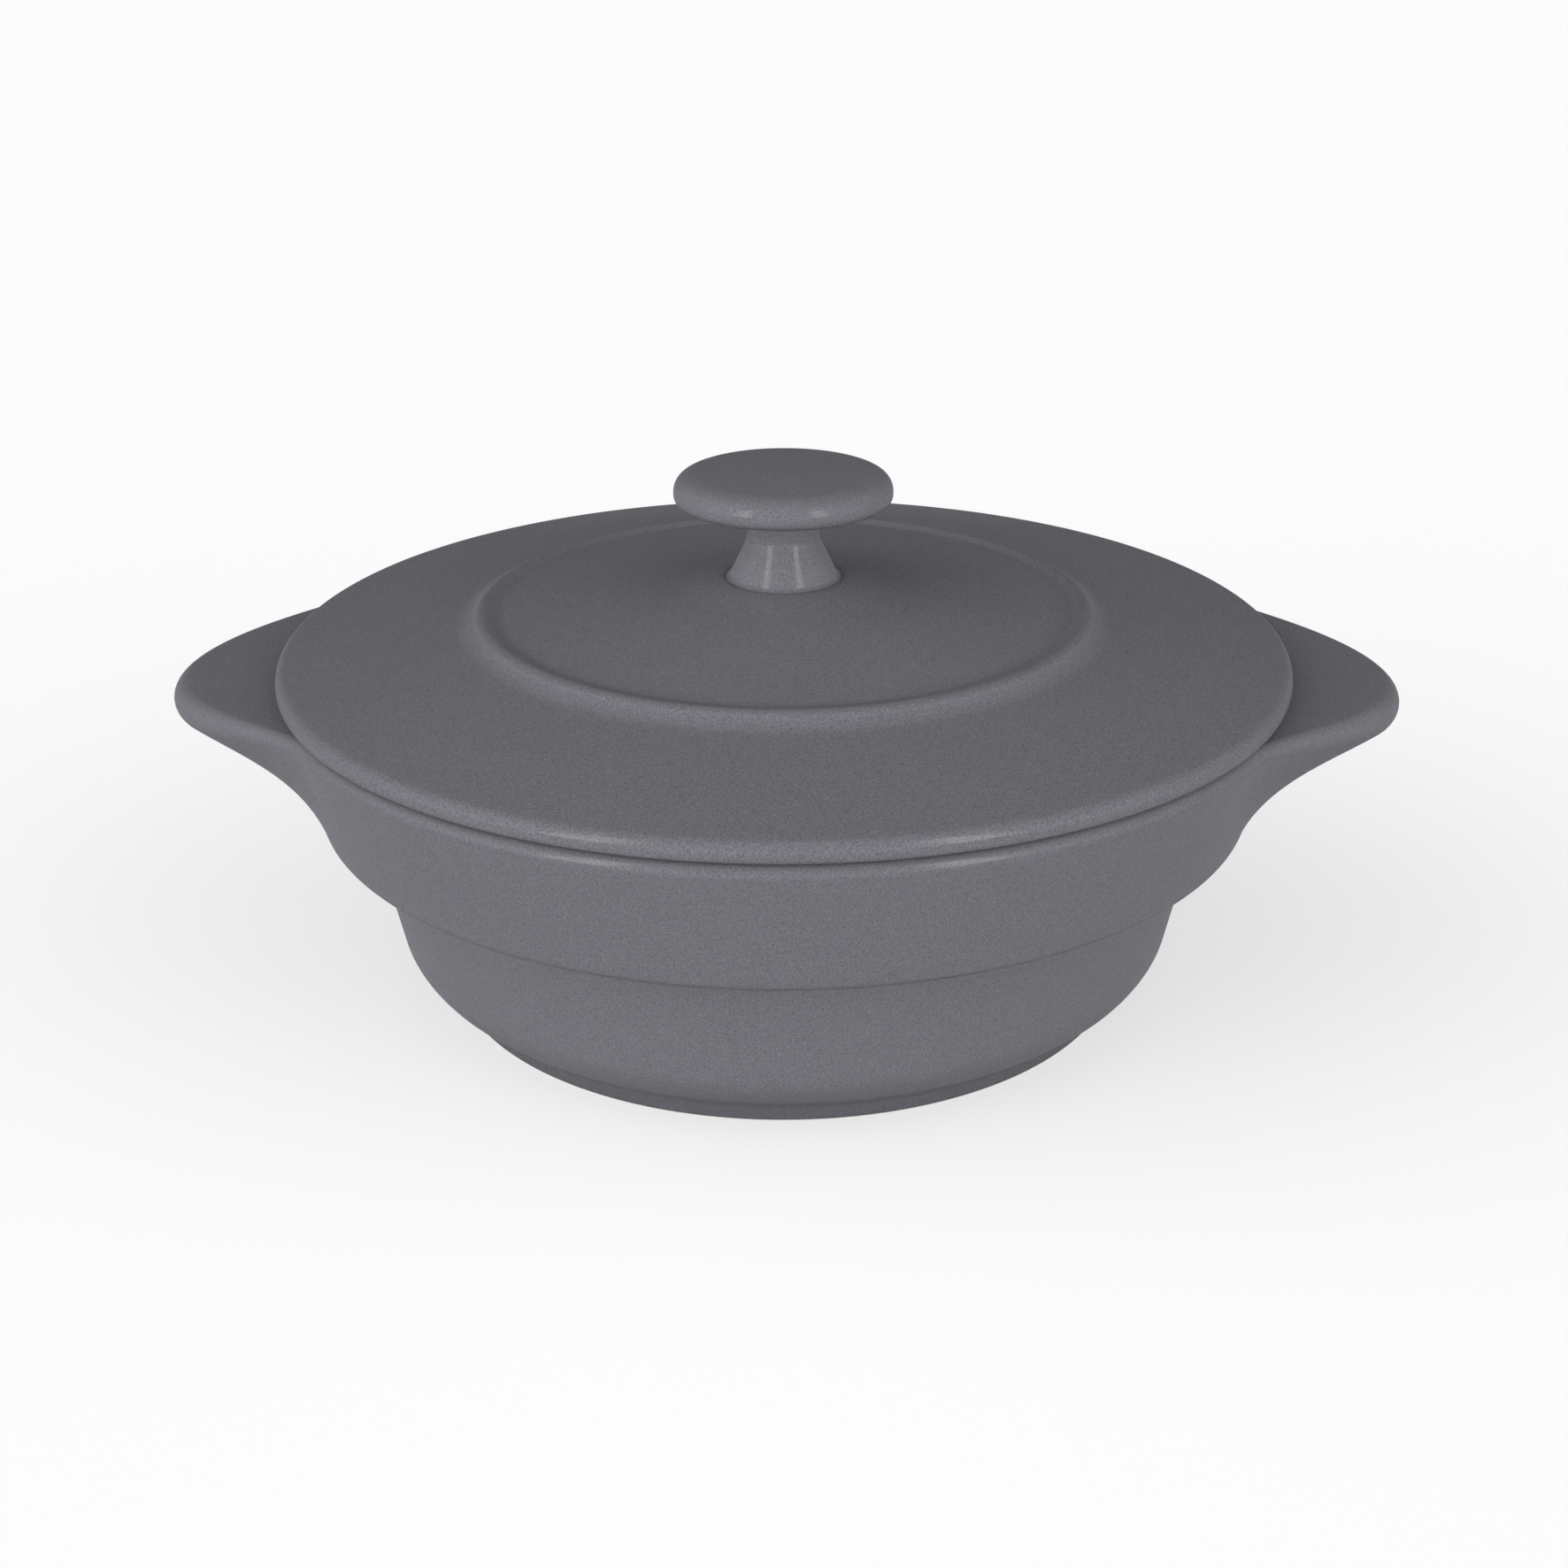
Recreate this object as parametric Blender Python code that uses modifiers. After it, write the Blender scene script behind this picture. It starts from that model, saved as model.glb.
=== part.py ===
"""Round glazed cocotte: a stepped pot with two ears, a domed lid and the knob on its crown.

Metres, +Z up. The origin is on the table, under the middle of the pot, and +X runs through an ear.
"""

import math

import bmesh
import bpy
from mathutils import Matrix, Vector
from mathutils.geometry import interpolate_bezier

# Pot: the rim and the collar below it
RIM_RADIUS = 0.100
RIM_HEIGHT = 0.066
RIM_ROUNDING = 0.0022
MOUTH_ROUNDING = 0.0008
WALL = 0.006
COLLAR_LEAN = math.radians(17.5)

# Pot: the ledge under the collar, the bowl and the foot ring
LEDGE_HEIGHT = 0.0388
LEDGE_WIDTH = 0.0084
LEDGE_ROUNDING = 0.0025
LEDGE_CORNER_ROUNDING = 0.0012
INNER_LEDGE_ROUNDING = 0.003
BOWL_LEAN = math.radians(13)
HEEL_HEIGHT = 0.0095
HEEL_ROUNDING = 0.011
FLOOR_THICKNESS = 0.0058
FLOOR_ROUNDING = 0.010
FOOT_INSET = 0.0093
FOOT_HEIGHT = 0.0032
FOOT_WIDTH = 0.005
FOOT_ROUNDING = 0.0008
FOOT_RECESS = 0.0022

# Pot: the ears drawn out of the rim
EAR_REACH = 0.0223
EAR_SPREAD = math.radians(29)
EAR_TAPER = 1.69
EAR_THICKNESS = 0.0079
EAR_DROP = 0.0062
EAR_TOP_SLOPE = math.radians(7)
EAR_UNDERSIDE_SLOPE = math.radians(26)
EAR_UNDERSIDE_RUN = 0.0057
EAR_ROOT_RUN = 0.0058

# Lid
SEAT_GAP = 0.0003
LID_EDGE = 0.0037
LID_EDGE_ROUNDING = 0.0024
LID_LIP_ROUNDING = 0.0009
LID_RISE = 0.0066
LID_CROWN_RISE = 0.0061
LID_WALL = 0.0052
RING_RADIUS = 0.0598
RING_INNER_WIDTH = 0.0010
RING_OUTER_WIDTH = 0.0028
RING_HEIGHT = 0.0020
RING_STEP = 0.0008
RING_ROUNDING = 0.0011
RING_COVE = 0.005
FLANGE_DEPTH = 0.007
FLANGE_THICKNESS = 0.0045
FLANGE_CLEARANCE = 0.0015
FLANGE_ROUNDING = 0.0015

# Knob
JOIN_GAP = 0.0003
CROWN_MARGIN = 0.0007
KNOB_RADIUS = 0.0215
KNOB_HEAD_THICKNESS = 0.0057
KNOB_HEAD_ROUNDING = 0.0039
KNOB_LIP_ROUNDING = 0.0015
KNOB_CROWN = 0.0006
KNOB_FOOT_RADIUS = 0.0108
KNOB_NECK_RADIUS = 0.0071
KNOB_STEM_HEIGHT = 0.0152
KNOB_NECK_ROUNDING = 0.002
KNOB_FLARE_HEIGHT = 0.0077
KNOB_FLARE_ROUNDING = 0.008

# Most of an edge's thickness that its roundings may take up
ROUNDED_SHARE = 0.95

# Glaze
GLAZE_COLOUR = (0.135, 0.133, 0.149, 1.0)
GLAZE_ROUGHNESS = 0.22

# Facets
ARC_STEP = math.radians(24)
ARC_LEAST_STEPS = 2
EAR_STEPS = 12
SIDE_STEPS = 20
RIM_TOP_STEPS = 3
RIM_EDGE_STEPS = 6
COLLAR_STEPS = 8
LID_STEPS = 64
KNOB_STEPS = 40
KNOB_CROWN_STEPS = 2
KNOB_EDGE_STEPS = 5
KNOB_LIP_STEPS = 3
KNOB_NECK_STEPS = 3
WELD = 0.00001
SHARP_ANGLE = math.radians(35)


def clear_scene():
    for obj in list(bpy.data.objects):
        bpy.data.objects.remove(obj, do_unlink=True)


def towards(angle):
    return Vector((math.cos(angle), math.sin(angle)))


def arc(centre, radius, start, end, steps):
    return [centre + radius * towards(start + (end - start) * step / steps) for step in range(steps + 1)]


def line(start, end, steps):
    return [start.lerp(end, step / steps) for step in range(steps + 1)]


def swung(centre, first, last, steps):
    """Points around a centre from one arm to the other, by the shorter way."""
    turn = first.angle_signed(last)
    return [centre + Matrix.Rotation(-turn * step / steps, 2) @ first for step in range(steps + 1)]


def fillet(before, corner, after, radius):
    """Points of the arc that rounds off a corner of an outline."""
    if radius == 0:
        return [corner]
    arriving = (before - corner).normalized()
    leaving = (after - corner).normalized()
    half = arriving.angle(leaving) / 2
    centre = corner + (arriving + leaving).normalized() * radius / math.sin(half)
    first = corner + arriving * radius / math.tan(half) - centre
    last = corner + leaving * radius / math.tan(half) - centre
    steps = max(ARC_LEAST_STEPS, math.ceil(first.angle(last) / ARC_STEP))
    return swung(centre, first, last, steps)


def rounded(corners):
    """Points of an open outline through (radius, height, rounding) corners."""
    places = [Vector(corner[:2]) for corner in corners]
    points = places[:1]
    for index in range(1, len(corners) - 1):
        points += fillet(*places[index - 1 : index + 2], corners[index][2])
    return points + places[-1:]


def rim_roundings():
    """Roundings of the rim's outer edge and of its mouth, kept within the wall."""
    share = min(1, ROUNDED_SHARE * WALL / (RIM_ROUNDING + MOUTH_ROUNDING))
    return RIM_ROUNDING * share, MOUTH_ROUNDING * share


def collar_radius(height):
    """Outer radius of the collar's leaning wall, which touches the rim's rounding."""
    rounding = rim_roundings()[0]
    edge_radius = RIM_RADIUS - rounding * (1 - math.cos(COLLAR_LEAN))
    edge_height = RIM_HEIGHT - rounding * (1 + math.sin(COLLAR_LEAN))
    return edge_radius - (edge_height - height) * math.tan(COLLAR_LEAN)


def mouth_radius(height):
    return collar_radius(height) - WALL / math.cos(COLLAR_LEAN)


def bowl_radius(height):
    """Outer radius of the bowl's leaning wall, which hangs under the ledge."""
    top = collar_radius(LEDGE_HEIGHT) - LEDGE_WIDTH
    return top - (LEDGE_HEIGHT - height) * math.tan(BOWL_LEAN)


def hollow_radius(height):
    return bowl_radius(height) - WALL / math.cos(BOWL_LEAN)


def ear_weight(angle):
    """1 on the middle of an ear, 0 from its ends round to the next ear."""
    share = min(abs(math.remainder(angle, math.pi)) / EAR_SPREAD, 1)
    return math.cos(math.pi / 2 * share) ** EAR_TAPER


def plain_rim(seat, collar_foot):
    """Rim and collar away from the ears, from the seat out and down to the collar's lower edge."""
    rounding = rim_roundings()[0]
    centre = Vector((RIM_RADIUS - rounding, RIM_HEIGHT - rounding))
    edge = arc(centre, rounding, math.pi / 2, -COLLAR_LEAN, RIM_EDGE_STEPS)
    return line(seat, edge[0], RIM_TOP_STEPS)[:-1] + edge + line(edge[-1], collar_foot, COLLAR_STEPS)[1:]


def ear_rim(seat, collar_foot):
    """The same run through the middle of an ear."""
    half = EAR_THICKNESS / 2
    centre = Vector((RIM_RADIUS + EAR_REACH - half, RIM_HEIGHT - EAR_DROP))
    top_angle = math.pi / 2 - EAR_TOP_SLOPE
    edge = arc(centre, half, top_angle, EAR_UNDERSIDE_SLOPE - math.pi / 2, RIM_EDGE_STEPS)
    off_edge = edge[-1] - EAR_UNDERSIDE_RUN * towards(EAR_UNDERSIDE_SLOPE)
    off_collar = collar_foot + EAR_ROOT_RUN * towards(math.pi / 2 - COLLAR_LEAN)
    underside = interpolate_bezier(edge[-1], off_edge, off_collar, collar_foot, COLLAR_STEPS + 1)
    return line(seat, edge[0], RIM_TOP_STEPS)[:-1] + edge + underside[1:]


def pot_outline(weight):
    """Section of the pot from the middle of its floor, over the rim, to the middle of its underside."""
    floor_height = FOOT_RECESS + FLOOR_THICKNESS
    inner_ledge = LEDGE_HEIGHT + WALL
    inside = rounded(
        [
            (0, floor_height, 0),
            (hollow_radius(floor_height), floor_height, FLOOR_ROUNDING),
            (hollow_radius(inner_ledge), inner_ledge, LEDGE_ROUNDING),
            (mouth_radius(inner_ledge), inner_ledge, INNER_LEDGE_ROUNDING),
            (mouth_radius(RIM_HEIGHT), RIM_HEIGHT, rim_roundings()[1]),
            (RIM_RADIUS, RIM_HEIGHT, 0),
        ]
    )[:-1]
    foot_radius = bowl_radius(HEEL_HEIGHT) - FOOT_INSET
    outside = rounded(
        [
            (collar_radius(RIM_HEIGHT), RIM_HEIGHT, 0),
            (collar_radius(LEDGE_HEIGHT), LEDGE_HEIGHT, LEDGE_ROUNDING),
            (bowl_radius(LEDGE_HEIGHT), LEDGE_HEIGHT, LEDGE_CORNER_ROUNDING),
            (bowl_radius(HEEL_HEIGHT), HEEL_HEIGHT, HEEL_ROUNDING),
            (foot_radius, FOOT_HEIGHT, 0),
            (foot_radius, 0, FOOT_ROUNDING),
            (foot_radius - FOOT_WIDTH, 0, FOOT_ROUNDING),
            (foot_radius - FOOT_WIDTH, FOOT_RECESS, 0),
            (0, FOOT_RECESS, 0),
        ]
    )[1:]
    plain = plain_rim(inside[-1], outside[0])
    ear = ear_rim(inside[-1], outside[0])
    rim = [at_collar.lerp(at_ear, weight) for at_collar, at_ear in zip(plain, ear)]
    return inside + rim[1:-1] + outside


def column_angles():
    """Angles of the pot's sections, closer together across the ears."""
    across_ear = [EAR_SPREAD * (2 * step / EAR_STEPS - 1) for step in range(EAR_STEPS)]
    side = math.pi - 2 * EAR_SPREAD
    along_side = [EAR_SPREAD + side * step / SIDE_STEPS for step in range(SIDE_STEPS)]
    half_turn = across_ear + along_side
    return half_turn + [angle + math.pi for angle in half_turn]


def lofted(name, outline_at, angles):
    """A closed body through sections that stand around the axis and share their first and last point."""
    shape = bmesh.new()
    first, *_, last = outline_at(angles[0])
    top = shape.verts.new((0, 0, first.y))
    bottom = shape.verts.new((0, 0, last.y))
    columns = []
    for angle in angles:
        out = Vector((math.cos(angle), math.sin(angle), 0))
        places = [out * point.x + Vector((0, 0, point.y)) for point in outline_at(angle)[1:-1]]
        columns.append([top] + [shape.verts.new(place) for place in places] + [bottom])
    for column, following in zip(columns, columns[1:] + columns[:1]):
        for upper in range(len(column) - 1):
            corners = [column[upper], column[upper + 1], following[upper + 1], following[upper]]
            shape.faces.new(dict.fromkeys(corners))
    bmesh.ops.recalc_face_normals(shape, faces=shape.faces)
    mesh = bpy.data.meshes.new(name)
    shape.to_mesh(mesh)
    shape.free()
    mesh.shade_smooth()
    mesh.set_sharp_from_angle(angle=SHARP_ANGLE)
    return bpy.data.objects.new(name, mesh)


def turned(name, outline, steps):
    """A body turned from an outline that starts and ends on the axis and runs down its outer side."""
    mesh = bpy.data.meshes.new(name)
    edges = [(index, index + 1) for index in range(len(outline) - 1)]
    mesh.from_pydata([(point.x, 0, point.y) for point in outline], edges, [])
    obj = bpy.data.objects.new(name, mesh)
    screw = obj.modifiers.new("turn", "SCREW")
    screw.steps = steps
    screw.render_steps = steps
    screw.use_merge_vertices = True
    screw.merge_threshold = WELD
    screw.use_smooth_shade = True
    return obj


def lid_crown_radius():
    """Radius of the flat on the lid's crown, which the knob stands on."""
    return KNOB_FOOT_RADIUS + CROWN_MARGIN


def lid_top(radius):
    """Height of the lid's slope above the seat, from its edge in to the ring."""
    share = (RIM_RADIUS - radius) / (RIM_RADIUS - RING_RADIUS + RING_INNER_WIDTH)
    return LID_EDGE + LID_RISE * share


def ring_top():
    """Height of the ring's crest above the seat."""
    return lid_top(RING_RADIUS) + RING_HEIGHT


def lid_crown_height():
    """Height of the flat on the lid's crown above the seat."""
    return ring_top() - RING_STEP + LID_CROWN_RISE


def lid_outline():
    """Section of the lid, with heights above its seat: over the top, round the edge, back underneath."""
    ring_inner = RING_RADIUS - RING_INNER_WIDTH
    ring_outer = RING_RADIUS + RING_OUTER_WIDTH
    seat = RIM_HEIGHT + SEAT_GAP
    flange_root = mouth_radius(seat) - FLANGE_CLEARANCE
    flange_tip = mouth_radius(seat - FLANGE_DEPTH) - FLANGE_CLEARANCE
    flange_inner = flange_tip - FLANGE_THICKNESS
    edge_share = min(1, ROUNDED_SHARE * LID_EDGE / (LID_EDGE_ROUNDING + LID_LIP_ROUNDING))
    flange_rounding = min(FLANGE_ROUNDING, ROUNDED_SHARE * FLANGE_THICKNESS / 2)
    return rounded(
        [
            (0, lid_crown_height(), 0),
            (lid_crown_radius(), lid_crown_height(), 0),
            (ring_inner, ring_top() - RING_STEP, 0),
            (RING_RADIUS, ring_top(), RING_ROUNDING),
            (ring_outer, lid_top(ring_outer), RING_COVE),
            (RIM_RADIUS, LID_EDGE, LID_EDGE_ROUNDING * edge_share),
            (RIM_RADIUS, 0, LID_LIP_ROUNDING * edge_share),
            (flange_root, 0, 0),
            (flange_tip, -FLANGE_DEPTH, flange_rounding),
            (flange_inner, -FLANGE_DEPTH, flange_rounding),
            (flange_inner, lid_top(flange_inner) - LID_WALL, flange_rounding),
            (lid_crown_radius(), lid_crown_height() - LID_WALL, 0),
            (0, lid_crown_height() - LID_WALL, 0),
        ]
    )


def knob_outline():
    """Section of the knob, with heights above its foot: over the head, down the stem, across the foot."""
    share = min(1, ROUNDED_SHARE * KNOB_HEAD_THICKNESS / (KNOB_HEAD_ROUNDING + KNOB_LIP_ROUNDING))
    head_rounding = KNOB_HEAD_ROUNDING * share
    lip_rounding = KNOB_LIP_ROUNDING * share
    head_top = KNOB_STEM_HEIGHT + KNOB_HEAD_THICKNESS
    edge_centre = Vector((KNOB_RADIUS - head_rounding, head_top - head_rounding))
    lip_centre = Vector((KNOB_RADIUS - lip_rounding, KNOB_STEM_HEIGHT + lip_rounding))
    head_edge = arc(edge_centre, head_rounding, math.pi / 2, 0, KNOB_EDGE_STEPS)
    lip = arc(lip_centre, lip_rounding, 0, -math.pi / 2, KNOB_LIP_STEPS)
    crown_sphere = (edge_centre.x**2 + KNOB_CROWN**2) / (2 * KNOB_CROWN)
    crown_centre = Vector((0, head_top + KNOB_CROWN - crown_sphere))
    crown_edge = math.acos(edge_centre.x / crown_sphere)
    crown = arc(crown_centre, crown_sphere, math.pi / 2, crown_edge, KNOB_CROWN_STEPS)
    neck_height = KNOB_STEM_HEIGHT - KNOB_NECK_ROUNDING
    under_centre = Vector((KNOB_NECK_RADIUS + KNOB_NECK_ROUNDING, neck_height))
    under = arc(under_centre, KNOB_NECK_ROUNDING, math.pi / 2, math.pi, KNOB_NECK_STEPS)
    flare_top = Vector((KNOB_NECK_RADIUS, KNOB_FLARE_HEIGHT))
    foot = Vector((KNOB_FOOT_RADIUS, 0))
    stem = fillet(under[-1], flare_top, foot, KNOB_FLARE_ROUNDING)
    return crown[:-1] + head_edge + lip + under + stem + [foot, Vector((0, 0))]


def glaze(name):
    material = bpy.data.materials.new(name)
    material.use_nodes = True
    shader = material.node_tree.nodes["Principled BSDF"]
    shader.inputs["Base Color"].default_value = GLAZE_COLOUR
    shader.inputs["Roughness"].default_value = GLAZE_ROUGHNESS
    shader.inputs["Metallic"].default_value = 0
    material.diffuse_color = GLAZE_COLOUR
    return material


def make_pot():
    return lofted("pot", lambda angle: pot_outline(ear_weight(angle)), column_angles())


def make_lid():
    lid = turned("lid", lid_outline(), LID_STEPS)
    lid.location.z = RIM_HEIGHT + SEAT_GAP
    return lid


def make_knob(lid):
    knob = turned("knob", knob_outline(), KNOB_STEPS)
    knob.parent = lid
    knob.location.z = lid_crown_height() + JOIN_GAP
    return knob


def main():
    clear_scene()
    cocotte = bpy.data.collections.new("cocotte")
    bpy.context.scene.collection.children.link(cocotte)
    pot = make_pot()
    lid = make_lid()
    lid.parent = pot
    knob = make_knob(lid)
    for piece in (pot, lid, knob):
        piece.data.materials.append(glaze(piece.name + "_glaze"))
        cocotte.objects.link(piece)


main()
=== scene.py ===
import math

import bmesh
import bpy
import numpy as np
from mathutils import Matrix, Vector


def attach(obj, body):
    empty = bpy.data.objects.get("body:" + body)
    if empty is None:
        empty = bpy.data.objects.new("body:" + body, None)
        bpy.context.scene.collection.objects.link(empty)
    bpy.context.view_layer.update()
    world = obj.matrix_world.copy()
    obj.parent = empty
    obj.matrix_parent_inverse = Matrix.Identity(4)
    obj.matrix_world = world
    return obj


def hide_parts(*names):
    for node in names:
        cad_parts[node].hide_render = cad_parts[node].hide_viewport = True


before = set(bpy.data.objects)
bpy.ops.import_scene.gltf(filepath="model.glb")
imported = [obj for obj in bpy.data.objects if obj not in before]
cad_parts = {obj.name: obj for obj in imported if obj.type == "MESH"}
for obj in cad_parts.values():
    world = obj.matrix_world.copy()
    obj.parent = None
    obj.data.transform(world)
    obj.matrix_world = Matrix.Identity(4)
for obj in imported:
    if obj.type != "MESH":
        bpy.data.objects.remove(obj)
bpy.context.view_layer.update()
print("frame loaded:", ", ".join(sorted(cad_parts)))

mm = 0.001
sameSpot = 0.01 * mm                       # outline points nearer than this are the same point
weldGap = 0.004 * mm                       # and turned points nearer than this are joined


# drawing and turning, shared by the three ceramic pieces

def deselectEverything():
    if bpy.context.object and bpy.context.object.mode != "OBJECT":
        bpy.ops.object.mode_set(mode="OBJECT")
    bpy.ops.object.select_all(action="DESELECT")


def arcPoints(centre, radius, startDegrees, endDegrees, steps):
    points = []
    for step in range(steps + 1):
        turn = math.radians(startDegrees + (endDegrees - startDegrees) * step / steps)
        points.append((centre[0] + radius * math.cos(turn), centre[1] + radius * math.sin(turn)))
    return points


def straightPoints(start, end, steps):
    return [tuple(Vector(start).lerp(Vector(end), step / steps)) for step in range(steps + 1)]


def stepAway(point, degrees, distance):
    turn = math.radians(degrees)
    return (point[0] + distance * math.cos(turn), point[1] + distance * math.sin(turn))


def curvePoints(start, startHandle, endHandle, end, steps):
    points = []
    for step in range(steps + 1):
        along = step / steps
        back = 1 - along
        weights = (back**3, 3 * back * back * along, 3 * back * along * along, along**3)
        pulls = zip(weights, (start, startHandle, endHandle, end))
        points.append(tuple(sum((weight * Vector(pull) for weight, pull in pulls), Vector((0, 0)))))
    return points


# outline points are (radius, height) in mm; a small plane is merged to one point and pulled along them
def drawOutline(name, points):
    deselectEverything()
    bpy.ops.mesh.primitive_plane_add(size=mm, location=(points[0][0] * mm, 0, points[0][1] * mm))
    piece = bpy.context.object
    piece.name = name
    piece.data.name = name
    bpy.ops.object.transform_apply(location=True, rotation=True, scale=True)
    bpy.ops.object.mode_set(mode="EDIT")
    bpy.ops.mesh.select_mode(type="VERT")
    bpy.ops.mesh.select_all(action="SELECT")
    bpy.ops.mesh.merge(type="CENTER")
    for here, there in zip(points, points[1:]):
        step = ((there[0] - here[0]) * mm, 0, (there[1] - here[1]) * mm)
        bpy.ops.mesh.extrude_region_move(TRANSFORM_OT_translate={"value": step})
    return piece


def selectPoint(piece, spot):
    place = Vector((spot[0], 0, spot[1])) * mm
    outline = bmesh.from_edit_mesh(piece.data)
    for point in outline.verts:
        point.select = (point.co - place).length < sameSpot
    outline.select_flush_mode()
    bmesh.update_edit_mesh(piece.data)


# rounds one corner of the drawn outline, in edit mode
def roundCorner(piece, before, corner, after, rounding, segments):
    arriving = Vector(before) - Vector(corner)
    leaving = Vector(after) - Vector(corner)
    selectPoint(piece, corner)
    reach = rounding * mm / math.tan(arriving.angle(leaving) / 2)
    bpy.ops.mesh.bevel(offset_type="OFFSET", offset=reach, segments=segments, affect="VERTICES")


# cuts the long straights of the outline, so that the edge and crease masks have points to sit on
def cutLongStraights(piece, longest):
    bpy.ops.mesh.select_mode(type="EDGE")
    while True:
        outline = bmesh.from_edit_mesh(piece.data)
        longEdges = [edge for edge in outline.edges if edge.calc_length() > longest * mm]
        if not longEdges:
            break
        cuts = math.ceil(longEdges[0].calc_length() / (longest * mm)) - 1
        for edge in outline.edges:
            edge.select_set(edge == longEdges[0])
        bmesh.update_edit_mesh(piece.data)
        bpy.ops.mesh.subdivide(number_cuts=max(cuts, 1))


# corners are (radius, height, rounding in mm); a corner with no rounding stays as drawn
def outlinePiece(name, corners, segments, longest):
    points = [corner[:2] for corner in corners]
    piece = drawOutline(name, points)
    for index in range(1, len(corners) - 1):
        before, corner, after = points[index - 1:index + 2]
        rounding = corners[index][2]
        if rounding > 0:
            roundCorner(piece, before, corner, after, rounding, segments)
    cutLongStraights(piece, longest)
    bpy.ops.object.mode_set(mode="OBJECT")
    return piece


def turnOutline(piece, columns):
    deselectEverything()
    piece.select_set(True)
    bpy.context.view_layer.objects.active = piece
    wheel = piece.modifiers.new("wheel", "SCREW")
    wheel.steps = columns
    wheel.render_steps = columns
    wheel.use_merge_vertices = True
    wheel.merge_threshold = weldGap
    bpy.ops.object.modifier_apply(modifier=wheel.name)
    bpy.ops.object.mode_set(mode="EDIT")
    bpy.ops.mesh.select_all(action="SELECT")
    bpy.ops.mesh.remove_doubles(threshold=weldGap)
    bpy.ops.mesh.normals_make_consistent(inside=False)
    bpy.ops.mesh.select_all(action="DESELECT")
    bpy.ops.object.mode_set(mode="OBJECT")
    bpy.ops.object.shade_smooth()


def plainCorners(points):
    return [(radius, height, 0) for radius, height in points]


# the fired body is never quite true: a slow ripple, only ever inwards
def rippleSurface(piece, shape):
    ripple = bpy.data.textures.new(piece.name + "Ripple", type="CLOUDS")
    ripple.noise_scale = shape["rippleSize"] * mm
    ripple.noise_depth = 1
    deselectEverything()
    bpy.context.view_layer.objects.active = piece
    piece.select_set(True)
    bump = piece.modifiers.new("ripple", "DISPLACE")
    bump.texture = ripple
    bump.texture_coords = "LOCAL"
    bump.strength = shape["rippleDepth"] * mm
    bump.mid_level = 1
    bpy.ops.object.modifier_apply(modifier=bump.name)


# 1 over an edge, -1 in a crease, 0 on open walls: both get painted shade, and the glaze is drier over edges
# and wetter in creases
def markEdgesAndCreases(piece, shape):
    shell = piece.data
    places = np.empty(len(shell.vertices) * 3)
    shell.vertices.foreach_get("co", places)
    places = places.reshape(-1, 3)
    normals = np.empty(len(shell.vertices) * 3)
    shell.vertices.foreach_get("normal", normals)
    normals = normals.reshape(-1, 3)
    ends = np.empty(len(shell.edges) * 2, int)
    shell.edges.foreach_get("vertices", ends)
    first, second = ends.reshape(-1, 2).T
    across = places[second] - places[first]
    lengths = (across**2).sum(1)
    count = np.bincount(ends, minlength=len(places))
    bend = np.zeros(len(places))
    np.add.at(bend, first, -2 * (normals[first] * across).sum(1) / lengths)
    np.add.at(bend, second, 2 * (normals[second] * across).sum(1) / lengths)
    bendMark = np.clip(bend / count * shape["edgeRadius"] * mm, -1, 1)
    for _ in range(shape["markSpread"]):
        around = np.zeros(len(places))
        np.add.at(around, first, bendMark[second])
        np.add.at(around, second, bendMark[first])
        bendMark = (bendMark + around / count) / 2
    layer = shell.attributes.new("shadeAndGlazeMark", "FLOAT", "POINT")
    layer.data.foreach_set("value", bendMark.astype(np.float32))


# pot: bowl, ledge, collar and the two ears drawn out of its rim

potShape = {
    "columns": 288,
    "segments": 7,
    "longest": 2.4,
    "floor": (70.56, 8.0, 10.0),           # radius, height, rounding
    "innerLedge": (79.05, 44.8, 2.5),
    "collarRoot": (87.82, 44.8, 3.0),
    "mouth": (94.51, 66.0, 0.8),
    "seat": (95.6, 66.0),
    "rim": (97.8, 63.8, 2.2),              # centre and radius of the rim's round
    "collarLean": 17.5,
    "collarFoot": (93.09, 41.54),
    "ledgeEdge": (92.224, 38.8, 2.5),
    "ledgeRoot": (83.824, 38.8, 1.2),
    "heel": (77.06, 9.5, 11.0),
    "footCrease": (67.76, 3.2, 0.8),
    "footEdge": (67.76, 0.0, 0.8),
    "footInner": (62.76, 0.0, 0.8),
    "footRecess": (62.76, 2.2, 0.6),
    "nose": (118.30, 59.8, 3.93),          # centre and radius of the ear's rounded tip
    "earTopSlope": 7,
    "earUnderSlope": 26,
    "underPull": 5.7,                      # how far the underside follows the tip's slope
    "collarPull": 5.8,                     # and the collar's lean
    "earSpread": 29,
    "earTaper": 1.69,
    "topSteps": 12,
    "roundSteps": 16,
    "underSteps": 20,
    "rippleDepth": 0.05,
    "rippleSize": 30,
    "edgeRadius": 3.0,                     # an edge as tight as this takes the full painted shade and change of gloss
    "markSpread": 4,
    "grainSize": 3400,
    "grainShift": (0, 0, 0),
    "bareHeight": 0.35,                    # below this the foot is bare clay
    "footShadeGlaze": (67.2, 3.1),              # outside this radius and below this height the foot wall gets painted shade
}


def potCorners(rimRun):
    shape = potShape
    inside = [shape[name] for name in ("floor", "innerLedge", "collarRoot", "mouth")]
    outside = [shape[name] for name in ("ledgeEdge", "ledgeRoot", "heel", "footCrease", "footEdge")]
    under = [shape[name] for name in ("footInner", "footRecess")]
    middleFloor = (0, shape["floor"][1], 0)
    middleUnder = (0, shape["footRecess"][1], 0)
    return [middleFloor] + inside + plainCorners(rimRun) + outside + under + [middleUnder]


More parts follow.
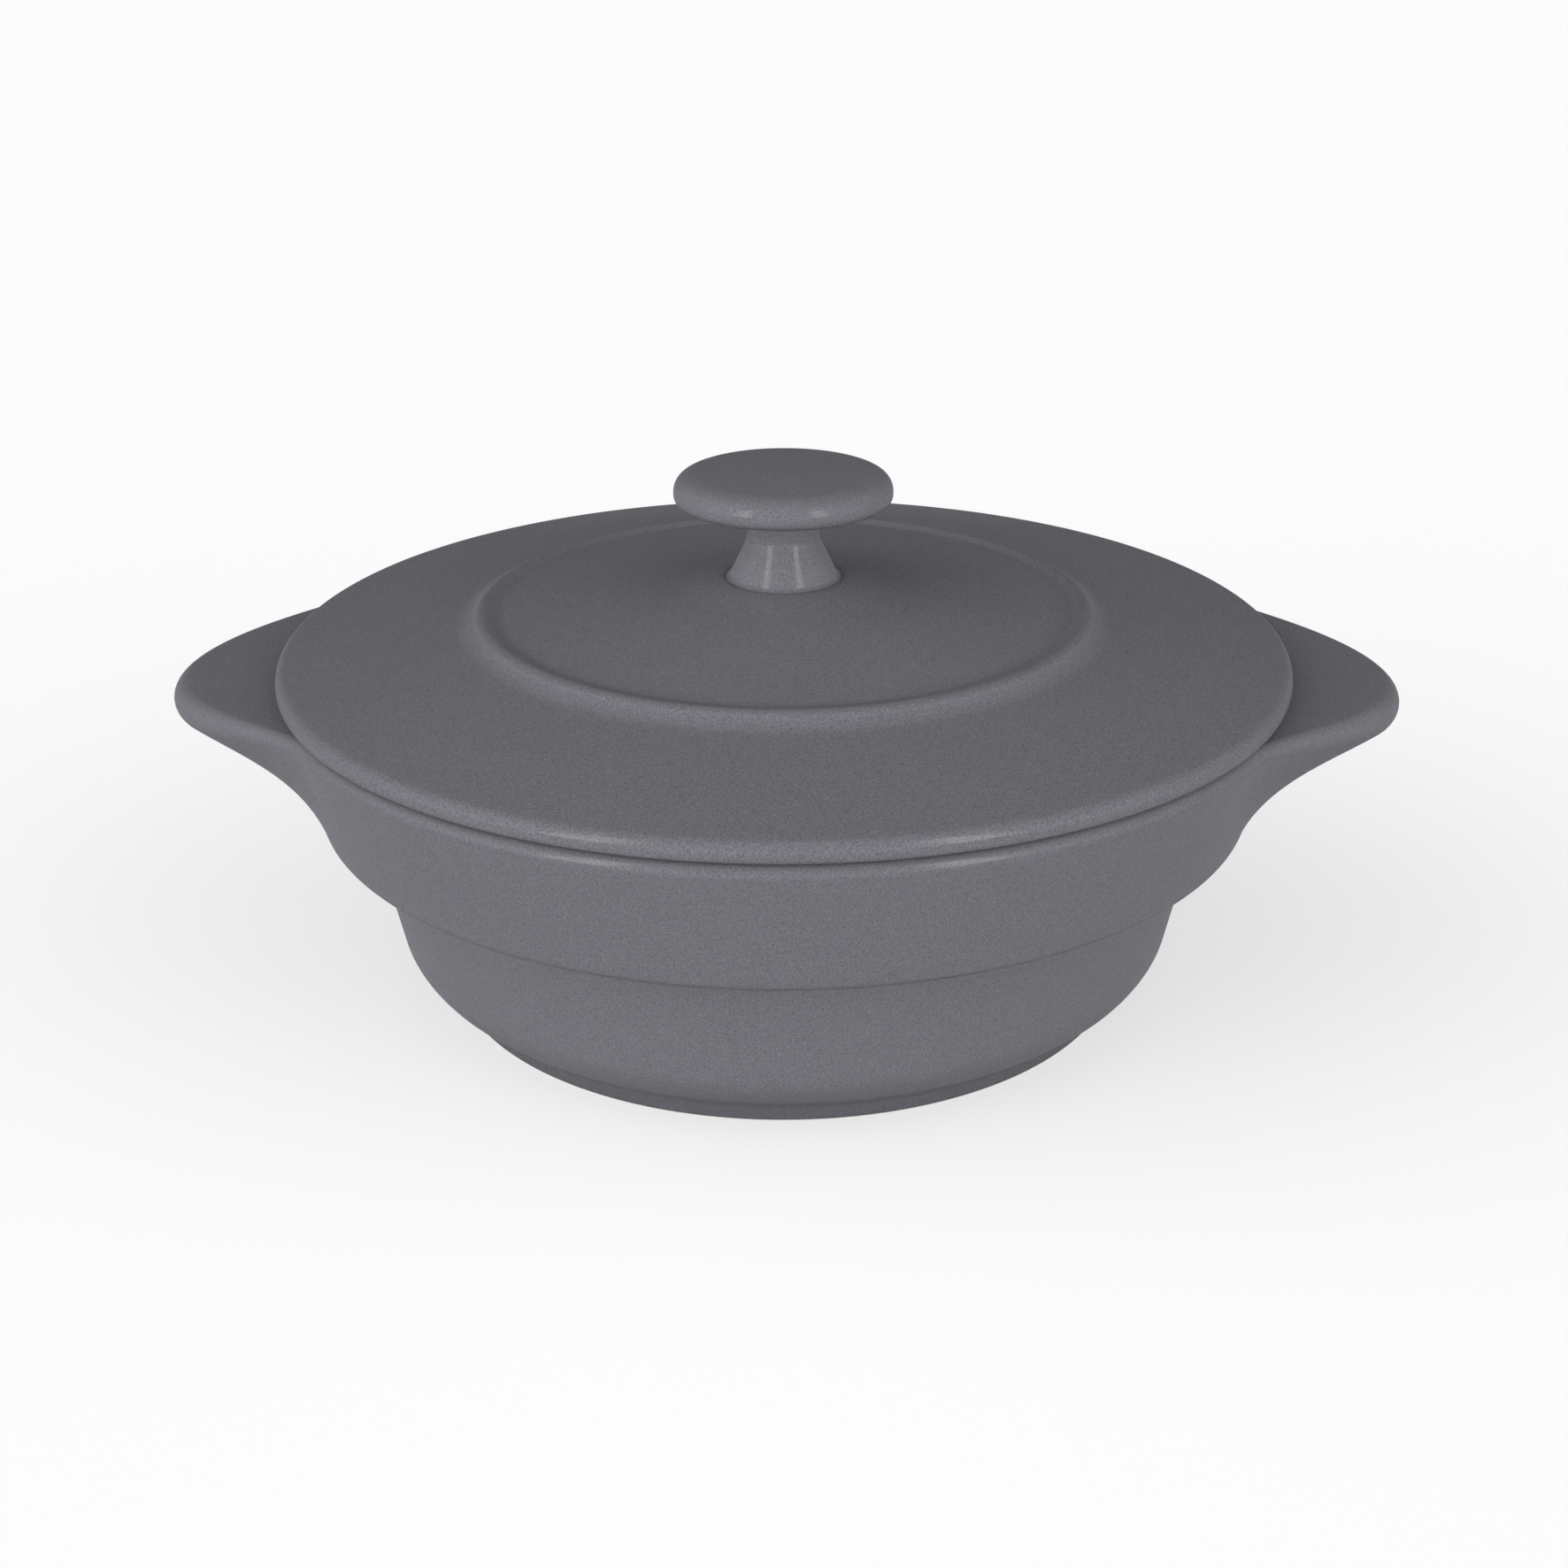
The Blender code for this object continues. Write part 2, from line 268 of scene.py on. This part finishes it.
def plainRimRun():
    shape = potShape
    rimRound = arcPoints(shape["rim"][:2], shape["rim"][2], 90, -shape["collarLean"], shape["roundSteps"])
    top = straightPoints(shape["seat"], rimRound[0], shape["topSteps"])
    collar = straightPoints(rimRound[-1], shape["collarFoot"], shape["underSteps"])
    return top[:-1] + rimRound + collar[1:]


def earRimRun():
    shape = potShape
    tipStart = 90 - shape["earTopSlope"]
    tipEnd = shape["earUnderSlope"] - 90
    tip = arcPoints(shape["nose"][:2], shape["nose"][2], tipStart, tipEnd, shape["roundSteps"])
    top = straightPoints(shape["seat"], tip[0], shape["topSteps"])
    foot = shape["collarFoot"]
    tipHandle = stepAway(tip[-1], 180 + shape["earUnderSlope"], shape["underPull"])
    footHandle = stepAway(foot, 90 - shape["collarLean"], shape["collarPull"])
    under = curvePoints(tip[-1], tipHandle, footHandle, foot, shape["underSteps"])
    return top[:-1] + tip + under[1:]


def earShare(place):
    turn = math.degrees(math.atan2(abs(place.y), abs(place.x)))
    return math.cos(math.radians(90 * min(turn / potShape["earSpread"], 1))) ** potShape["earTaper"]


# a copy of the outline has its rim pulled out to an ear;
# both are turned, and the copy is mixed in over the ears
def makePot():
    plainRun = plainRimRun()
    pot = outlinePiece("potShell", potCorners(plainRun), potShape["segments"], potShape["longest"])
    deselectEverything()
    pot.select_set(True)
    bpy.context.view_layer.objects.active = pot
    bpy.ops.object.duplicate()
    ears = bpy.context.object
    ears.name = "earForm"
    bpy.ops.object.mode_set(mode="EDIT")
    bpy.ops.mesh.select_mode(type="VERT")
    for here, there in zip(plainRun, earRimRun()):
        selectPoint(ears, here)
        bpy.ops.transform.translate(value=((there[0] - here[0]) * mm, 0, (there[1] - here[1]) * mm))
    bpy.ops.object.mode_set(mode="OBJECT")
    turnOutline(ears, potShape["columns"])
    turnOutline(pot, potShape["columns"])
    deselectEverything()
    ears.select_set(True)
    pot.select_set(True)
    bpy.context.view_layer.objects.active = pot
    bpy.ops.object.join_shapes()
    reach = pot.vertex_groups.new(name="ears")
    for point in pot.data.vertices:
        share = earShare(point.co)
        if share > 0:
            reach.add([point.index], share, "REPLACE")
    drawn = pot.data.shape_keys.key_blocks["earForm"]
    drawn.vertex_group = "ears"
    drawn.value = 1
    pot.active_shape_key_index = 1
    bpy.ops.object.shape_key_remove(all=True, apply_mix=True)
    pot.vertex_groups.remove(reach)
    bpy.data.objects.remove(ears)
    rippleSurface(pot, potShape)
    markEdgesAndCreases(pot, potShape)
    print("pot turned, ears drawn out:", len(pot.data.polygons), "faces")
    return pot


# lid: a shallow cone with a raised ring, lying on the rim by its edge

lidShape = {
    "columns": 288,
    "segments": 7,
    "longest": 2.2,
    "seat": 66.3,                          # heights below are from here
    "crown": (12.0, 17.6, 1.5),            # radius, height, rounding
    "crownFlare": (20.0, 15.9, 40.0),
    "ringCrease": (56.6, 11.42, 3.0),
    "ringCrest": (59.85, 12.32, 2.4),
    "ringCove": (62.6, 9.62, 7.0),
    "outerSwell": (82.0, 6.78, 120.0),
    "edgeTop": (100.0, 3.7, 2.4),
    "edgeLip": (100.0, 0.0, 0.9),
    "flangeRoot": (93.1, 0.0, 0.7),
    "flangeTip": (90.9, -7.0, 1.5),
    "flangeInner": (86.4, -7.0, 1.5),
    "flangeTop": (86.4, 0.67, 2.0),
    "hollow": (11.5, 12.2, 12.0),
    "rippleDepth": 0.05,
    "rippleSize": 30,
    "edgeRadius": 3.0,
    "markSpread": 4,
    "grainSize": 2700,
    "grainShift": (0.31, 0.12, 0.05),
}


def makeLid():
    shape = lidShape
    order = ("crown", "crownFlare", "ringCrease", "ringCrest", "ringCove", "outerSwell", "edgeTop",
             "edgeLip", "flangeRoot", "flangeTip", "flangeInner", "flangeTop", "hollow")
    corners = [(shape[name][0], shape[name][1] + shape["seat"], shape[name][2]) for name in order]
    middleTop = (0, corners[0][1], 0)
    middleUnder = (0, corners[-1][1], 0)
    outline = [middleTop] + corners + [middleUnder]
    lid = outlinePiece("lidShell", outline, shape["segments"], shape["longest"])
    turnOutline(lid, shape["columns"])
    rippleSurface(lid, shape)
    markEdgesAndCreases(lid, shape)
    print("lid turned:", len(lid.data.polygons), "faces")
    return lid


# knob: flat head on a flared stem, its foot run out on to the lid with slip

knobShape = {
    "columns": 160,
    "longest": 1.2,
    "crownHeight": 105.5,
    "crownRise": 0.45,
    "shoulder": (16.26, 9.0, 20),          # where the crown ends, radius of the bend, its slope in degrees
    "headRadius": 21.5,
    "lipRound": (19.9, 100.8, 1.6),        # centre and radius of the head's lower edge
    "neckFillet": (9.1, 97.2, 2.0),
    "flareRound": (15.1, 93.55, 8.0),      # where the straight neck turns out into the flare
    "flareSlope": 25.6,
    "stemFoot": (10.51, 84.6),
    "slipEdge": (11.9, 83.72),             # just under the lid's surface
    "slipSlope": 13,
    "slipPull": 0.55,
    "steps": 12,
    "rippleDepth": 0.03,
    "rippleSize": 12,
    "edgeRadius": 2.5,
    "markSpread": 3,
    "grainSize": 3400,
    "grainShift": (0.07, 0.43, 0.21),
}


def makeKnob():
    shape = knobShape
    start, bend, slope = shape["shoulder"]
    sphere = (start**2 + shape["crownRise"] ** 2) / (2 * shape["crownRise"])
    crownEdge = math.degrees(math.acos(start / sphere))
    crown = arcPoints((0, shape["crownHeight"] - sphere), sphere, 90, crownEdge, shape["steps"])
    shoulder = arcPoints((start, crown[-1][1] - bend), bend, 90, 90 - slope, shape["steps"])
    lean = math.radians(slope)
    half = (shape["headRadius"] - shoulder[-1][0]) / (1 - math.sin(lean))
    edgeCentre = (shape["headRadius"] - half, shoulder[-1][1] - half * math.cos(lean))
    edge = arcPoints(edgeCentre, half, 90 - slope, 0, shape["steps"])
    lip = arcPoints(shape["lipRound"][:2], shape["lipRound"][2], 0, -90, shape["steps"])
    neck = arcPoints(shape["neckFillet"][:2], shape["neckFillet"][2], 90, 180, shape["steps"])
    flareEnd = 180 + shape["flareSlope"]
    flare = arcPoints(shape["flareRound"][:2], shape["flareRound"][2], 180, flareEnd, shape["steps"])
    foot = shape["stemFoot"]
    spread = shape["slipEdge"]
    footHandle = stepAway(foot, shape["flareSlope"] - 90, shape["slipPull"])
    spreadHandle = stepAway(spread, 180 - shape["slipSlope"], shape["slipPull"])
    slip = curvePoints(foot, footHandle, spreadHandle, spread, shape["steps"])
    head = crown[:-1] + shoulder[:-1] + edge + lip
    outline = head + neck + flare + slip + [(0, spread[1])]
    knob = outlinePiece("knobTurned", plainCorners(outline), 1, shape["longest"])
    turnOutline(knob, shape["columns"])
    rippleSurface(knob, shape)
    markEdgesAndCreases(knob, shape)
    print("knob turned:", len(knob.data.polygons), "faces")
    return knob


# finishes

def addNode(tree, kind, **settings):
    node = tree.nodes.new(kind)
    for name, value in settings.items():
        setattr(node, name, value)
    return node


def fill(node, **values):
    for name, value in values.items():
        node.inputs[name.replace("_", " ")].default_value = value


glazeTones = {
    "body": (0.130, 0.127, 0.143, 1),
    "thinShade": (0.120, 0.117, 0.132, 1),      # painted shade: darker over rounded edges
    # darker in creases: pooled glaze, and painted shade where creases lie in shade
    "pooledShade": (0.121, 0.118, 0.134, 1),
    "footPaintedShade": 0.7,                      # painted shade: the foot wall darker, as it lies in the shadow of the bowl above
    "grainTone": 1.2,
    "cloudTone": 0.05,
    "gloss": 0.10,
    "dryness": 0.05,                       # how much drier the glaze is over edges, and how much wetter in creases
    "peel": 0.8,                           # orange peel against grain
    "grainDepth": 0.05,                    # mm
    "satin": 0.6,
    "shine": 0.03,
    "coat": 0.03,
    "coatIndex": 2.2,
}


# satin glaze: fine grain, slow clouds of tone, and painted shade darkening edges and creases, where the
# glaze is also drier and wetter
def makeGlazeGroup():
    group = bpy.data.node_groups.new("satinGlaze", "ShaderNodeTree")
    sockets = (
        ("INPUT", "NodeSocketColor", ("Body", "Thin", "Pooled")),
        ("INPUT", "NodeSocketFloat", ("Grain Size", "Grain Tone", "Cloud Tone", "Gloss")),
        ("INPUT", "NodeSocketVector", ("Place",)),
        ("OUTPUT", "NodeSocketColor", ("Colour",)),
        ("OUTPUT", "NodeSocketFloat", ("Roughness", "Height")),
    )
    for side, kind, names in sockets:
        for name in names:
            group.interface.new_socket(name=name, in_out=side, socket_type=kind)
    link = group.links.new
    given = addNode(group, "NodeGroupInput")
    result = addNode(group, "NodeGroupOutput")
    bendMark = addNode(group, "ShaderNodeAttribute", attribute_name="shadeAndGlazeMark")

    grain = addNode(group, "ShaderNodeTexNoise")
    fill(grain, Detail=1.5, Roughness=0.6)
    link(given.outputs["Place"], grain.inputs["Vector"])
    link(given.outputs["Grain Size"], grain.inputs["Scale"])
    peel = addNode(group, "ShaderNodeTexNoise")
    fill(peel, Scale=420, Detail=1.0)
    link(given.outputs["Place"], peel.inputs["Vector"])
    clouds = addNode(group, "ShaderNodeTexNoise")
    fill(clouds, Scale=34, Detail=3.0, Roughness=0.55)
    link(given.outputs["Place"], clouds.inputs["Vector"])

    # masks of painted shade over edges and in creases, broken up by the clouds so that they don't read as
    # drawn lines
    broken = addNode(group, "ShaderNodeMapRange")
    fill(broken, From_Min=0.35, From_Max=0.65, To_Min=0.7, To_Max=1.25)
    link(clouds.outputs["Fac"], broken.inputs["Value"])
    worked = addNode(group, "ShaderNodeMath", operation="MULTIPLY")
    link(bendMark.outputs["Fac"], worked.inputs[0])
    link(broken.outputs["Result"], worked.inputs[1])
    thinShade = addNode(group, "ShaderNodeMapRange", interpolation_type="SMOOTHSTEP")
    fill(thinShade, From_Min=0.08, From_Max=0.9)
    link(worked.outputs[0], thinShade.inputs["Value"])
    pooledShade = addNode(group, "ShaderNodeMapRange", interpolation_type="SMOOTHSTEP")
    fill(pooledShade, From_Min=-0.08, From_Max=-0.8)
    link(worked.outputs[0], pooledShade.inputs["Value"])

    # painted shade: edges take the darker thinShade tone, creases the darker pooledShade tone
    edged = addNode(group, "ShaderNodeMix", data_type="RGBA")
    link(thinShade.outputs["Result"], edged.inputs["Factor"])
    link(given.outputs["Body"], edged.inputs["A"])
    link(given.outputs["Thin"], edged.inputs["B"])
    creased = addNode(group, "ShaderNodeMix", data_type="RGBA")
    link(pooledShade.outputs["Result"], creased.inputs["Factor"])
    link(edged.outputs["Result"], creased.inputs["A"])
    link(given.outputs["Pooled"], creased.inputs["B"])

    # tone = 1 + grain + clouds, with half of both taken off, as the noises run from 0 to 1
    grainTone = addNode(group, "ShaderNodeMath", operation="MULTIPLY_ADD")
    link(grain.outputs["Fac"], grainTone.inputs[0])
    link(given.outputs["Grain Tone"], grainTone.inputs[1])
    grainTone.inputs[2].default_value = 1.0
    cloudTone = addNode(group, "ShaderNodeMath", operation="MULTIPLY_ADD")
    link(clouds.outputs["Fac"], cloudTone.inputs[0])
    link(given.outputs["Cloud Tone"], cloudTone.inputs[1])
    link(grainTone.outputs[0], cloudTone.inputs[2])
    halfTones = addNode(group, "ShaderNodeMath", operation="ADD")
    link(given.outputs["Grain Tone"], halfTones.inputs[0])
    link(given.outputs["Cloud Tone"], halfTones.inputs[1])
    middle = addNode(group, "ShaderNodeMath", operation="MULTIPLY_ADD")
    link(halfTones.outputs[0], middle.inputs[0])
    middle.inputs[1].default_value = -0.5
    link(cloudTone.outputs[0], middle.inputs[2])
    toned = addNode(group, "ShaderNodeVectorMath", operation="SCALE")
    link(creased.outputs["Result"], toned.inputs["Vector"])
    link(middle.outputs[0], toned.inputs["Scale"])
    link(toned.outputs["Vector"], result.inputs["Colour"])

    # the glaze is a little drier over edges, a little wetter in creases
    drier = addNode(group, "ShaderNodeMath", operation="MULTIPLY_ADD")
    link(worked.outputs[0], drier.inputs[0])
    drier.inputs[1].default_value = glazeTones["dryness"]
    link(given.outputs["Gloss"], drier.inputs[2])
    breath = addNode(group, "ShaderNodeMapRange")
    fill(breath, From_Min=0.3, From_Max=0.7, To_Min=-0.03, To_Max=0.03)
    link(clouds.outputs["Fac"], breath.inputs["Value"])
    sheen = addNode(group, "ShaderNodeMath", operation="ADD")
    link(drier.outputs[0], sheen.inputs[0])
    link(breath.outputs["Result"], sheen.inputs[1])
    link(sheen.outputs[0], result.inputs["Roughness"])

    # grain over a shallow orange peel
    height = addNode(group, "ShaderNodeMath", operation="MULTIPLY_ADD")
    link(peel.outputs["Fac"], height.inputs[0])
    height.inputs[1].default_value = glazeTones["peel"]
    link(grain.outputs["Fac"], height.inputs[2])
    link(height.outputs[0], result.inputs["Height"])
    return group


def shadeTone(tone, shade):
    red, green, blue, alpha = tone
    return (red * shade, green * shade, blue * shade, alpha)


def glazeMaterial(name, group, shape, shade=1):
    tones = glazeTones
    body = shadeTone(tones["body"], shade)
    thinShade = shadeTone(tones["thinShade"], shade)
    pooledShade = shadeTone(tones["pooledShade"], shade)
    material = bpy.data.materials.new(name)
    material.use_nodes = True
    tree = material.node_tree
    shader = tree.nodes["Principled BSDF"]
    place = addNode(tree, "ShaderNodeTexCoord")
    moved = addNode(tree, "ShaderNodeMapping")
    moved.inputs["Location"].default_value = shape["grainShift"]
    tree.links.new(place.outputs["Object"], moved.inputs["Vector"])
    glaze = addNode(tree, "ShaderNodeGroup", node_tree=group)
    fill(glaze, Body=body, Thin=thinShade, Pooled=pooledShade, Gloss=tones["gloss"])
    fill(glaze, Grain_Size=shape["grainSize"], Grain_Tone=tones["grainTone"], Cloud_Tone=tones["cloudTone"])
    tree.links.new(moved.outputs["Vector"], glaze.inputs["Place"])
    bump = addNode(tree, "ShaderNodeBump")
    fill(bump, Strength=1.0, Distance=tones["grainDepth"] * mm)
    tree.links.new(glaze.outputs["Height"], bump.inputs["Height"])
    tree.links.new(glaze.outputs["Colour"], shader.inputs["Base Color"])
    tree.links.new(glaze.outputs["Roughness"], shader.inputs["Coat Roughness"])
    tree.links.new(bump.outputs["Normal"], shader.inputs["Normal"])
    fill(shader, Roughness=tones["satin"], Specular_IOR_Level=tones["shine"])
    fill(shader, Coat_Weight=tones["coat"], Coat_IOR=tones["coatIndex"])
    return material


clayTones = {
    "dark": (0.42, 0.39, 0.35, 1),
    "light": (0.60, 0.57, 0.52, 1),
    "sandSize": 1500,
    "sandDepth": 0.06,                     # mm
    "dryness": 0.85,
}


# bare fired clay where the foot ring stood on the kiln shelf
def bareClayMaterial():
    material = bpy.data.materials.new("bareClay")
    material.use_nodes = True
    tree = material.node_tree
    shader = tree.nodes["Principled BSDF"]
    place = addNode(tree, "ShaderNodeTexCoord")
    sand = addNode(tree, "ShaderNodeTexNoise")
    fill(sand, Scale=clayTones["sandSize"], Detail=4.0, Roughness=0.7)
    tree.links.new(place.outputs["Object"], sand.inputs["Vector"])
    tint = addNode(tree, "ShaderNodeValToRGB")
    darkEnd, lightEnd = tint.color_ramp.elements
    darkEnd.position = 0.3
    darkEnd.color = clayTones["dark"]
    lightEnd.position = 0.62
    lightEnd.color = clayTones["light"]
    tree.links.new(sand.outputs["Fac"], tint.inputs["Fac"])
    tree.links.new(tint.outputs["Color"], shader.inputs["Base Color"])
    bump = addNode(tree, "ShaderNodeBump")
    fill(bump, Strength=0.8, Distance=clayTones["sandDepth"] * mm)
    tree.links.new(sand.outputs["Fac"], bump.inputs["Height"])
    tree.links.new(bump.outputs["Normal"], shader.inputs["Normal"])
    fill(shader, Roughness=clayTones["dryness"])
    return material


potShell = makePot()
lidShell = makeLid()
knobTurned = makeKnob()

glazeGroup = makeGlazeGroup()
# a darker copy of the pot's glaze for the foot wall: painted shade under the bowl
footShadeGlaze = glazeMaterial("footShadeGlaze", glazeGroup, potShape, glazeTones["footPaintedShade"])
for finish in (glazeMaterial("potGlaze", glazeGroup, potShape), bareClayMaterial(), footShadeGlaze):
    potShell.data.materials.append(finish)
lidShell.data.materials.append(glazeMaterial("lidGlaze", glazeGroup, lidShape))
knobTurned.data.materials.append(glazeMaterial("knobGlaze", glazeGroup, knobShape))

# the foot's standing face is bare clay, and its outer wall takes the painted shade
shadeRadius, shadeHeight = potShape["footShadeGlaze"]
for face in potShell.data.polygons:
    if face.center.z < potShape["bareHeight"] * mm:
        face.material_index = 1
    elif face.center.z < shadeHeight * mm and face.center.xy.length > shadeRadius * mm:
        face.material_index = 2
print("glazes applied")

for piece, node, body in ((potShell, "pot", "pot"), (lidShell, "lid", "lid"), (knobTurned, "knob", "lid")):
    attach(piece, body)
    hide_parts(node)
print("pieces ride on their bodies")


# set: a pale floor, soft light from the front and sides, and two tall strips for the shine

studio = {
    "floorSize": 60,
    "floorDrop": 0.2,                      # mm, just clear of the foot
    "floorColour": (0.48, 0.48, 0.48, 1),  # takes the shadow, over the paper's own white
    "paperWhite": 0.55,
    "bounceColour": (0.34, 0.34, 0.34, 1),  # what the floor throws back up at the pot
    # each glow: degrees from the front, degrees up, sharpness, strength
    "leftGlow": (-75, 5, 3, 2.65),
    "rightGlow": (75, 5, 3, 1.9),
    "frontLeftGlow": (-40, 12, 10, 1.8),
    "frontRightGlow": (40, 12, 10, 1.7),
    "topGlow": (0, 90, 2, 0.31),
    "lowFront": 4.6,                       # a long low screen across the front
    "roomLight": 0.04,
    "stripTurn": 40,                       # degrees either side of the front
    "stripDistance": 1.2,
    "stripLow": 0.15,
    "stripSize": (0.30, 1.2),
    "stripPower": 18,                      # for the shine alone
}


def makeFloor():
    deselectEverything()
    bpy.ops.mesh.primitive_plane_add(size=studio["floorSize"], location=(0, 0, -studio["floorDrop"] * mm))
    floor = bpy.context.object
    floor.name = "floor"
    paper = bpy.data.materials.new("floorPaper")
    paper.use_nodes = True
    tree = paper.node_tree
    shader = tree.nodes["Principled BSDF"]
    fill(shader, Roughness=0.9, Specular_IOR_Level=0.1)
    path = addNode(tree, "ShaderNodeLightPath")
    seen = addNode(tree, "ShaderNodeMath", operation="ADD")
    tree.links.new(path.outputs["Is Camera Ray"], seen.inputs[0])
    tree.links.new(path.outputs["Is Glossy Ray"], seen.inputs[1])
    anySeen = addNode(tree, "ShaderNodeMath", operation="ADD", use_clamp=True)
    tree.links.new(seen.outputs[0], anySeen.inputs[0])
    tree.links.new(path.outputs["Is Transmission Ray"], anySeen.inputs[1])
    shown = addNode(tree, "ShaderNodeMix", data_type="RGBA")
    shown.inputs["A"].default_value = studio["bounceColour"]
    shown.inputs["B"].default_value = studio["floorColour"]
    tree.links.new(anySeen.outputs[0], shown.inputs["Factor"])
    tree.links.new(shown.outputs["Result"], shader.inputs["Base Color"])
    white = addNode(tree, "ShaderNodeMath", operation="MULTIPLY")
    white.inputs[1].default_value = studio["paperWhite"]
    tree.links.new(anySeen.outputs[0], white.inputs[0])
    tree.links.new(white.outputs[0], shader.inputs["Emission Strength"])
    fill(shader, Emission_Color=(1, 1, 1, 1))
    floor.data.materials.append(paper)


# one soft glow of the room, brightest in its own direction
def addGlow(tree, look, below, glow):
    turn, rise, sharpness, strength = glow
    turn = math.radians(turn)
    rise = math.radians(rise)
    level = math.cos(rise)
    facing = addNode(tree, "ShaderNodeVectorMath", operation="DOT_PRODUCT")
    facing.inputs[1].default_value = (math.sin(turn) * level, -math.cos(turn) * level, math.sin(rise))
    tree.links.new(look, facing.inputs[0])
    ahead = addNode(tree, "ShaderNodeMath", operation="MAXIMUM")
    ahead.inputs[1].default_value = 0
    tree.links.new(facing.outputs["Value"], ahead.inputs[0])
    falling = addNode(tree, "ShaderNodeMath", operation="POWER")
    falling.inputs[1].default_value = sharpness
    tree.links.new(ahead.outputs[0], falling.inputs[0])
    added = addNode(tree, "ShaderNodeMath", operation="MULTIPLY_ADD")
    added.inputs[1].default_value = strength
    tree.links.new(falling.outputs[0], added.inputs[0])
    tree.links.new(below, added.inputs[2])
    return added.outputs[0]


# a long low screen across the front, fading to the sides and upwards
def addLowFront(tree, look, below):
    parts = addNode(tree, "ShaderNodeSeparateXYZ")
    tree.links.new(look, parts.inputs[0])
    ahead = addNode(tree, "ShaderNodeMapRange", interpolation_type="SMOOTHSTEP")
    fill(ahead, From_Min=0.3, From_Max=-0.5)
    tree.links.new(parts.outputs["Y"], ahead.inputs["Value"])
    low = addNode(tree, "ShaderNodeMapRange", interpolation_type="SMOOTHSTEP")
    fill(low, From_Min=0.3, From_Max=0.05, To_Max=studio["lowFront"])
    tree.links.new(parts.outputs["Z"], low.inputs["Value"])
    added = addNode(tree, "ShaderNodeMath", operation="MULTIPLY_ADD")
    tree.links.new(ahead.outputs["Result"], added.inputs[0])
    tree.links.new(low.outputs["Result"], added.inputs[1])
    tree.links.new(below, added.inputs[2])
    return added.outputs[0]


# the room is dim behind, with the screen in front, a wide glow on either side of it and one overhead
def makeRoomLight():
    world = bpy.data.worlds.new("studioRoom")
    bpy.context.scene.world = world
    world.use_nodes = True
    tree = world.node_tree
    sky = tree.nodes["Background"]
    look = addNode(tree, "ShaderNodeTexCoord").outputs["Generated"]
    dim = addNode(tree, "ShaderNodeValue")
    dim.outputs[0].default_value = studio["roomLight"]
    level = addLowFront(tree, look, dim.outputs[0])
    for glow in ("leftGlow", "rightGlow", "frontLeftGlow", "frontRightGlow", "topGlow"):
        level = addGlow(tree, look, level, studio[glow])
    tree.links.new(level, sky.inputs["Strength"])
    fill(sky, Color=(1, 1, 1, 1))


def makeStrip(name, side):
    turn = math.radians(studio["stripTurn"]) * side
    place = Vector((math.sin(turn), -math.cos(turn), 0)) * studio["stripDistance"]
    width, height = studio["stripSize"]
    lamp = bpy.data.lights.new(name, "AREA")
    lamp.shape = "RECTANGLE"
    lamp.size = width
    lamp.size_y = height
    lamp.energy = studio["stripPower"]
    strip = bpy.data.objects.new(name, lamp)
    bpy.context.scene.collection.objects.link(strip)
    strip.location = place + Vector((0, 0, studio["stripLow"] + height / 2))
    strip.rotation_euler = (math.radians(90), 0, turn)
    strip.visible_camera = False
    strip.visible_diffuse = False


makeFloor()
makeRoomLight()
makeStrip("stripLeft", -1)
makeStrip("stripRight", 1)
print("set lit")


# camera, at the photograph's height and distance

view = {
    "aim": (0, 0, 0.060),
    "elevation": 20.6,
    "azimuth": 1.6,
    "roll": -0.2,
    "distance": 0.5326,
    "lens": 60.95,
    "sensor": 36,
    "shiftY": -0.0609,
}


def makeCamera():
    lens = bpy.data.cameras.new("camera")
    lens.lens = view["lens"]
    lens.sensor_width = view["sensor"]
    lens.shift_y = view["shiftY"]
    lens.clip_start = 0.01
    lens.clip_end = 100
    camera = bpy.data.objects.new("camera", lens)
    bpy.context.scene.collection.objects.link(camera)
    swung = Matrix.Rotation(math.radians(view["azimuth"]), 4, "Z")
    tilted = Matrix.Rotation(math.radians(90 - view["elevation"]), 4, "X")
    turned = swung @ tilted
    back = turned @ Vector((0, 0, view["distance"]))
    rolled = Matrix.Rotation(math.radians(view["roll"]), 4, "Z")
    camera.matrix_world = Matrix.Translation(Vector(view["aim"]) + back) @ turned @ rolled
    bpy.context.scene.camera = camera


makeCamera()
bpy.context.scene.view_settings.view_transform = "Standard"
print("camera placed")
